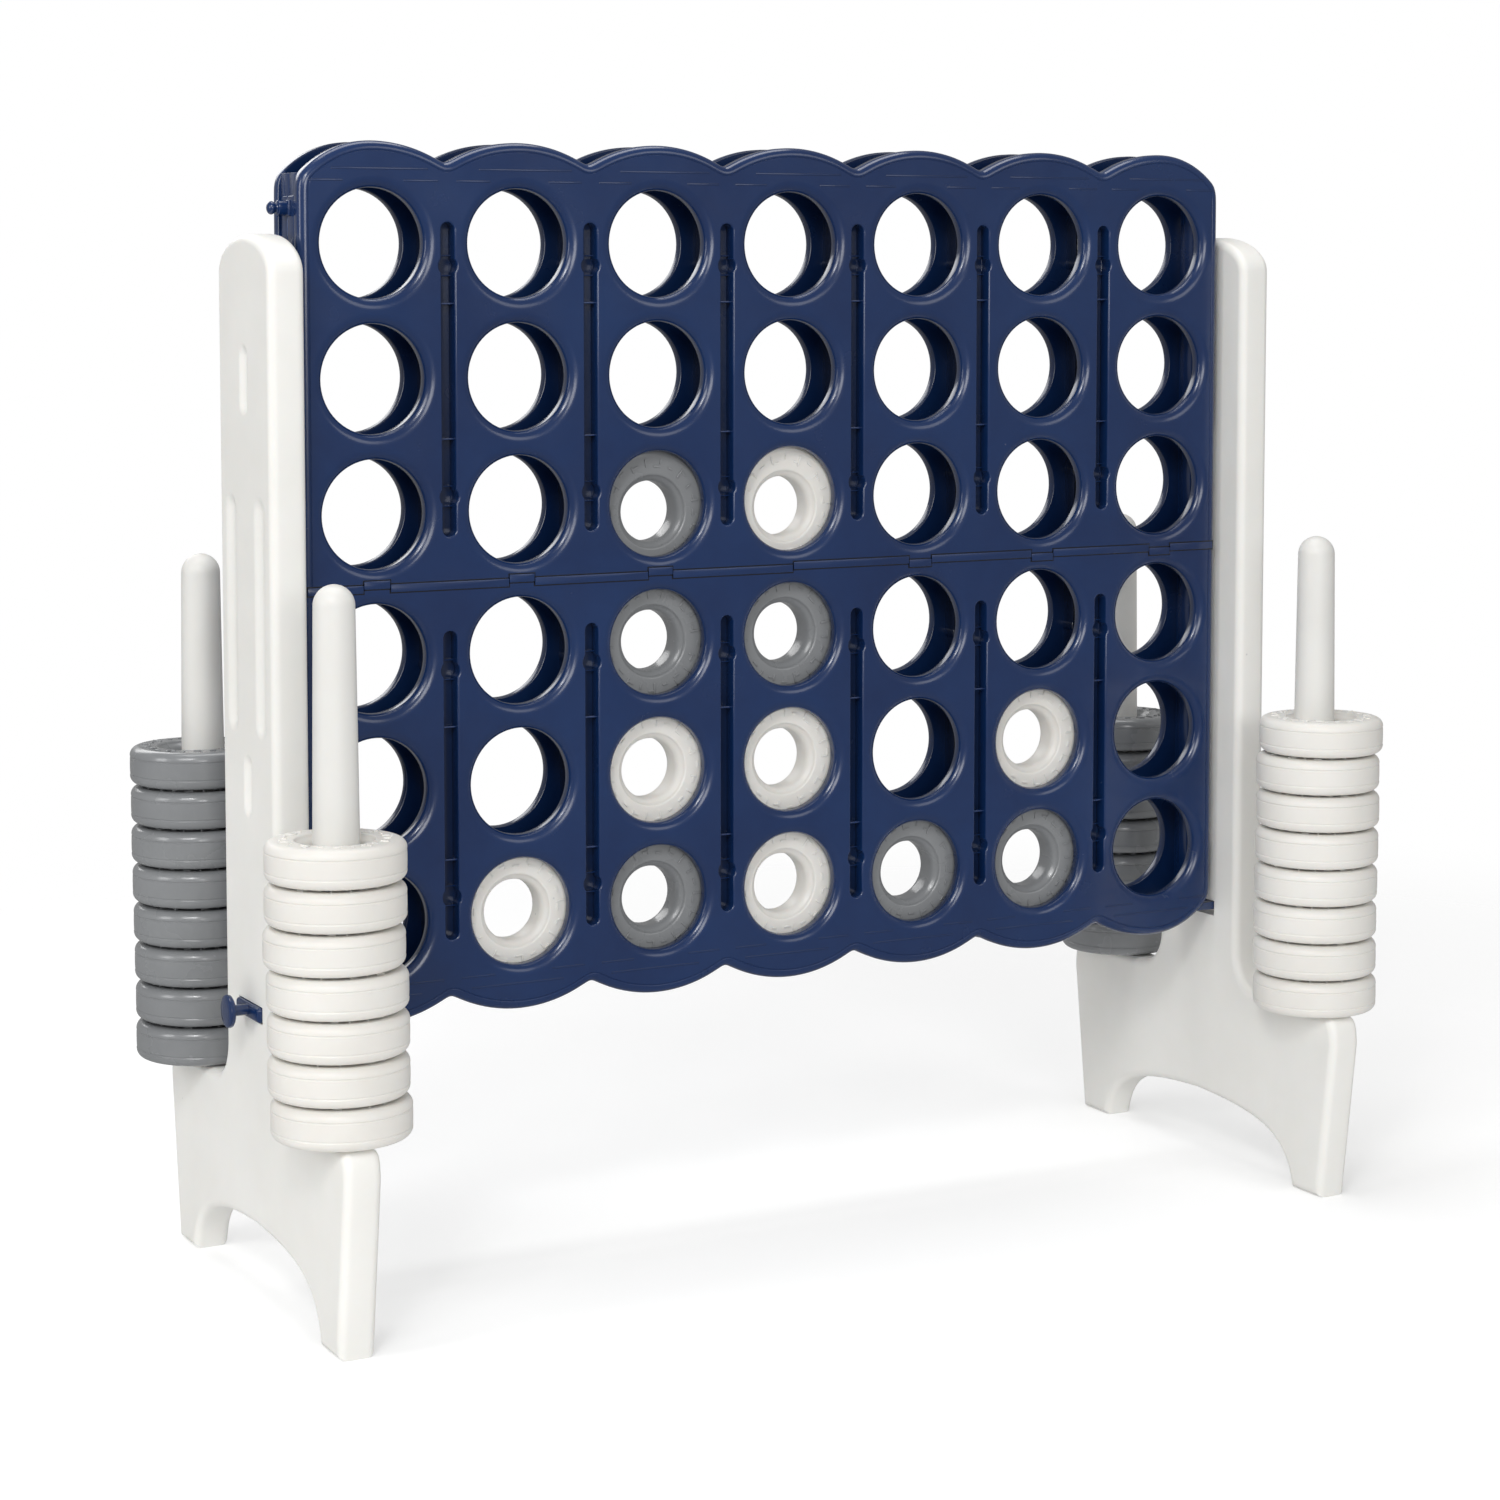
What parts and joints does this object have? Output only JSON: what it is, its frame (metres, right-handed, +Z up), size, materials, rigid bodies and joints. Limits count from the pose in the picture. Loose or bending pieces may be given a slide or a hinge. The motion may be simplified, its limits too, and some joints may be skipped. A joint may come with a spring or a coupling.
{
  "type": "four in a row frame",
  "caption": "Giant garden four in a row frame: a navy two-sided board on white legs, with ring counters in its columns and on corner posts, and a release slider under them.",
  "frame": {"origin": "on the floor under the middle of the frame", "axes": "+Z up, +X to the right along the board, -Y towards the players facing the front shells"},
  "size_m": [1.174, 0.4682, 1.038],
  "materials": {
    "navy_plastic": "glossy moulded polypropylene",
    "white_plastic": "satin blow-moulded polyethylene",
    "white_ring_plastic": "satin blow-moulded polyethylene",
    "grey_ring_plastic": "satin blow-moulded polyethylene"
  },
  "bodies": {
    "frame": {"front_upper_shell": "navy_plastic", "front_lower_shell": "navy_plastic", "back_upper_shell": "navy_plastic", "back_lower_shell": "navy_plastic", "left_upper_peg": "navy_plastic", "right_upper_peg": "navy_plastic", "left_lower_peg": "navy_plastic", "right_lower_peg": "navy_plastic", "left_leg": "white_plastic", "right_leg": "white_plastic", "left_front_post": "white_plastic", "right_front_post": "white_plastic", "left_back_post": "white_plastic", "right_back_post": "white_plastic"},
    "release_slider": {"release_slider": "navy_plastic"},
    "white_ring_left_front_1": {"white_ring_left_front_1": "white_ring_plastic"},
    "white_ring_left_front_2": {"white_ring_left_front_2": "white_ring_plastic"},
    "white_ring_left_front_3": {"white_ring_left_front_3": "white_ring_plastic"},
    "white_ring_left_front_4": {"white_ring_left_front_4": "white_ring_plastic"},
    "white_ring_left_front_5": {"white_ring_left_front_5": "white_ring_plastic"},
    "white_ring_left_front_6": {"white_ring_left_front_6": "white_ring_plastic"},
    "white_ring_left_front_7": {"white_ring_left_front_7": "white_ring_plastic"},
    "white_ring_right_front_1": {"white_ring_right_front_1": "white_ring_plastic"},
    "white_ring_right_front_2": {"white_ring_right_front_2": "white_ring_plastic"},
    "white_ring_right_front_3": {"white_ring_right_front_3": "white_ring_plastic"},
    "white_ring_right_front_4": {"white_ring_right_front_4": "white_ring_plastic"},
    "white_ring_right_front_5": {"white_ring_right_front_5": "white_ring_plastic"},
    "white_ring_right_front_6": {"white_ring_right_front_6": "white_ring_plastic"},
    "white_ring_right_front_7": {"white_ring_right_front_7": "white_ring_plastic"},
    "white_ring_right_front_8": {"white_ring_right_front_8": "white_ring_plastic"},
    "grey_ring_left_back_1": {"grey_ring_left_back_1": "grey_ring_plastic"},
    "grey_ring_left_back_2": {"grey_ring_left_back_2": "grey_ring_plastic"},
    "grey_ring_left_back_3": {"grey_ring_left_back_3": "grey_ring_plastic"},
    "grey_ring_left_back_4": {"grey_ring_left_back_4": "grey_ring_plastic"},
    "grey_ring_left_back_5": {"grey_ring_left_back_5": "grey_ring_plastic"},
    "grey_ring_left_back_6": {"grey_ring_left_back_6": "grey_ring_plastic"},
    "grey_ring_left_back_7": {"grey_ring_left_back_7": "grey_ring_plastic"},
    "grey_ring_left_back_8": {"grey_ring_left_back_8": "grey_ring_plastic"},
    "grey_ring_right_back_1": {"grey_ring_right_back_1": "grey_ring_plastic"},
    "grey_ring_right_back_2": {"grey_ring_right_back_2": "grey_ring_plastic"},
    "grey_ring_right_back_3": {"grey_ring_right_back_3": "grey_ring_plastic"},
    "grey_ring_right_back_4": {"grey_ring_right_back_4": "grey_ring_plastic"},
    "grey_ring_right_back_5": {"grey_ring_right_back_5": "grey_ring_plastic"},
    "grey_ring_right_back_6": {"grey_ring_right_back_6": "grey_ring_plastic"},
    "grey_ring_right_back_7": {"grey_ring_right_back_7": "grey_ring_plastic"},
    "white_ring_column_2_1": {"white_ring_column_2_1": "white_ring_plastic"},
    "grey_ring_column_3_1": {"grey_ring_column_3_1": "grey_ring_plastic"},
    "white_ring_column_3_2": {"white_ring_column_3_2": "white_ring_plastic"},
    "grey_ring_column_3_3": {"grey_ring_column_3_3": "grey_ring_plastic"},
    "grey_ring_column_3_4": {"grey_ring_column_3_4": "grey_ring_plastic"},
    "white_ring_column_4_1": {"white_ring_column_4_1": "white_ring_plastic"},
    "white_ring_column_4_2": {"white_ring_column_4_2": "white_ring_plastic"},
    "grey_ring_column_4_3": {"grey_ring_column_4_3": "grey_ring_plastic"},
    "white_ring_column_4_4": {"white_ring_column_4_4": "white_ring_plastic"},
    "grey_ring_column_5_1": {"grey_ring_column_5_1": "grey_ring_plastic"},
    "grey_ring_column_6_1": {"grey_ring_column_6_1": "grey_ring_plastic"},
    "white_ring_column_6_2": {"white_ring_column_6_2": "white_ring_plastic"}
  },
  "joints": [
    {"name": "slider_release", "type": "slide", "parent": "frame", "child": "release_slider", "axis": [-1, 0, 0], "range_m": [0, 0.071]},
    {"name": "lift_white_ring_left_front_1", "type": "slide", "parent": "frame", "child": "white_ring_left_front_1", "axis": [0, 0, 1], "range_m": [0, 0.483]},
    {"name": "lift_white_ring_left_front_2", "type": "slide", "parent": "white_ring_left_front_1", "child": "white_ring_left_front_2", "axis": [0, 0, 1], "range_m": [0, 0.446]},
    {"name": "lift_white_ring_left_front_3", "type": "slide", "parent": "white_ring_left_front_2", "child": "white_ring_left_front_3", "axis": [0, 0, 1], "range_m": [0, 0.409]},
    {"name": "lift_white_ring_left_front_4", "type": "slide", "parent": "white_ring_left_front_3", "child": "white_ring_left_front_4", "axis": [0, 0, 1], "range_m": [0, 0.372]},
    {"name": "lift_white_ring_left_front_5", "type": "slide", "parent": "white_ring_left_front_4", "child": "white_ring_left_front_5", "axis": [0, 0, 1], "range_m": [0, 0.335]},
    {"name": "lift_white_ring_left_front_6", "type": "slide", "parent": "white_ring_left_front_5", "child": "white_ring_left_front_6", "axis": [0, 0, 1], "range_m": [0, 0.298]},
    {"name": "lift_white_ring_left_front_7", "type": "slide", "parent": "white_ring_left_front_6", "child": "white_ring_left_front_7", "axis": [0, 0, 1], "range_m": [0, 0.261]},
    {"name": "lift_white_ring_right_front_1", "type": "slide", "parent": "frame", "child": "white_ring_right_front_1", "axis": [0, 0, 1], "range_m": [0, 0.483]},
    {"name": "lift_white_ring_right_front_2", "type": "slide", "parent": "white_ring_right_front_1", "child": "white_ring_right_front_2", "axis": [0, 0, 1], "range_m": [0, 0.446]},
    {"name": "lift_white_ring_right_front_3", "type": "slide", "parent": "white_ring_right_front_2", "child": "white_ring_right_front_3", "axis": [0, 0, 1], "range_m": [0, 0.409]},
    {"name": "lift_white_ring_right_front_4", "type": "slide", "parent": "white_ring_right_front_3", "child": "white_ring_right_front_4", "axis": [0, 0, 1], "range_m": [0, 0.372]},
    {"name": "lift_white_ring_right_front_5", "type": "slide", "parent": "white_ring_right_front_4", "child": "white_ring_right_front_5", "axis": [0, 0, 1], "range_m": [0, 0.335]},
    {"name": "lift_white_ring_right_front_6", "type": "slide", "parent": "white_ring_right_front_5", "child": "white_ring_right_front_6", "axis": [0, 0, 1], "range_m": [0, 0.298]},
    {"name": "lift_white_ring_right_front_7", "type": "slide", "parent": "white_ring_right_front_6", "child": "white_ring_right_front_7", "axis": [0, 0, 1], "range_m": [0, 0.261]},
    {"name": "lift_white_ring_right_front_8", "type": "slide", "parent": "white_ring_right_front_7", "child": "white_ring_right_front_8", "axis": [0, 0, 1], "range_m": [0, 0.224]},
    {"name": "lift_grey_ring_left_back_1", "type": "slide", "parent": "frame", "child": "grey_ring_left_back_1", "axis": [0, 0, 1], "range_m": [0, 0.483]},
    {"name": "lift_grey_ring_left_back_2", "type": "slide", "parent": "grey_ring_left_back_1", "child": "grey_ring_left_back_2", "axis": [0, 0, 1], "range_m": [0, 0.446]},
    {"name": "lift_grey_ring_left_back_3", "type": "slide", "parent": "grey_ring_left_back_2", "child": "grey_ring_left_back_3", "axis": [0, 0, 1], "range_m": [0, 0.409]},
    {"name": "lift_grey_ring_left_back_4", "type": "slide", "parent": "grey_ring_left_back_3", "child": "grey_ring_left_back_4", "axis": [0, 0, 1], "range_m": [0, 0.372]},
    {"name": "lift_grey_ring_left_back_5", "type": "slide", "parent": "grey_ring_left_back_4", "child": "grey_ring_left_back_5", "axis": [0, 0, 1], "range_m": [0, 0.335]},
    {"name": "lift_grey_ring_left_back_6", "type": "slide", "parent": "grey_ring_left_back_5", "child": "grey_ring_left_back_6", "axis": [0, 0, 1], "range_m": [0, 0.298]},
    {"name": "lift_grey_ring_left_back_7", "type": "slide", "parent": "grey_ring_left_back_6", "child": "grey_ring_left_back_7", "axis": [0, 0, 1], "range_m": [0, 0.261]},
    {"name": "lift_grey_ring_left_back_8", "type": "slide", "parent": "grey_ring_left_back_7", "child": "grey_ring_left_back_8", "axis": [0, 0, 1], "range_m": [0, 0.224]},
    {"name": "lift_grey_ring_right_back_1", "type": "slide", "parent": "frame", "child": "grey_ring_right_back_1", "axis": [0, 0, 1], "range_m": [0, 0.483]},
    {"name": "lift_grey_ring_right_back_2", "type": "slide", "parent": "grey_ring_right_back_1", "child": "grey_ring_right_back_2", "axis": [0, 0, 1], "range_m": [0, 0.446]},
    {"name": "lift_grey_ring_right_back_3", "type": "slide", "parent": "grey_ring_right_back_2", "child": "grey_ring_right_back_3", "axis": [0, 0, 1], "range_m": [0, 0.409]},
    {"name": "lift_grey_ring_right_back_4", "type": "slide", "parent": "grey_ring_right_back_3", "child": "grey_ring_right_back_4", "axis": [0, 0, 1], "range_m": [0, 0.372]},
    {"name": "lift_grey_ring_right_back_5", "type": "slide", "parent": "grey_ring_right_back_4", "child": "grey_ring_right_back_5", "axis": [0, 0, 1], "range_m": [0, 0.335]},
    {"name": "lift_grey_ring_right_back_6", "type": "slide", "parent": "grey_ring_right_back_5", "child": "grey_ring_right_back_6", "axis": [0, 0, 1], "range_m": [0, 0.298]},
    {"name": "lift_grey_ring_right_back_7", "type": "slide", "parent": "grey_ring_right_back_6", "child": "grey_ring_right_back_7", "axis": [0, 0, 1], "range_m": [0, 0.261]},
    {"name": "lift_white_ring_column_2_1", "type": "slide", "parent": "frame", "child": "white_ring_column_2_1", "axis": [0, 0, 1], "range_m": [0, 0.776]},
    {"name": "lift_grey_ring_column_3_1", "type": "slide", "parent": "frame", "child": "grey_ring_column_3_1", "axis": [0, 0, 1], "range_m": [0, 0.776]},
    {"name": "lift_white_ring_column_3_2", "type": "slide", "parent": "grey_ring_column_3_1", "child": "white_ring_column_3_2", "axis": [0, 0, 1], "range_m": [0, 0.654]},
    {"name": "lift_grey_ring_column_3_3", "type": "slide", "parent": "white_ring_column_3_2", "child": "grey_ring_column_3_3", "axis": [0, 0, 1], "range_m": [0, 0.532]},
    {"name": "lift_grey_ring_column_3_4", "type": "slide", "parent": "grey_ring_column_3_3", "child": "grey_ring_column_3_4", "axis": [0, 0, 1], "range_m": [0, 0.41]},
    {"name": "lift_white_ring_column_4_1", "type": "slide", "parent": "frame", "child": "white_ring_column_4_1", "axis": [0, 0, 1], "range_m": [0, 0.776]},
    {"name": "lift_white_ring_column_4_2", "type": "slide", "parent": "white_ring_column_4_1", "child": "white_ring_column_4_2", "axis": [0, 0, 1], "range_m": [0, 0.654]},
    {"name": "lift_grey_ring_column_4_3", "type": "slide", "parent": "white_ring_column_4_2", "child": "grey_ring_column_4_3", "axis": [0, 0, 1], "range_m": [0, 0.532]},
    {"name": "lift_white_ring_column_4_4", "type": "slide", "parent": "grey_ring_column_4_3", "child": "white_ring_column_4_4", "axis": [0, 0, 1], "range_m": [0, 0.41]},
    {"name": "lift_grey_ring_column_5_1", "type": "slide", "parent": "frame", "child": "grey_ring_column_5_1", "axis": [0, 0, 1], "range_m": [0, 0.776]},
    {"name": "lift_grey_ring_column_6_1", "type": "slide", "parent": "frame", "child": "grey_ring_column_6_1", "axis": [0, 0, 1], "range_m": [0, 0.776]},
    {"name": "lift_white_ring_column_6_2", "type": "slide", "parent": "grey_ring_column_6_1", "child": "white_ring_column_6_2", "axis": [0, 0, 1], "range_m": [0, 0.654]}
  ]
}
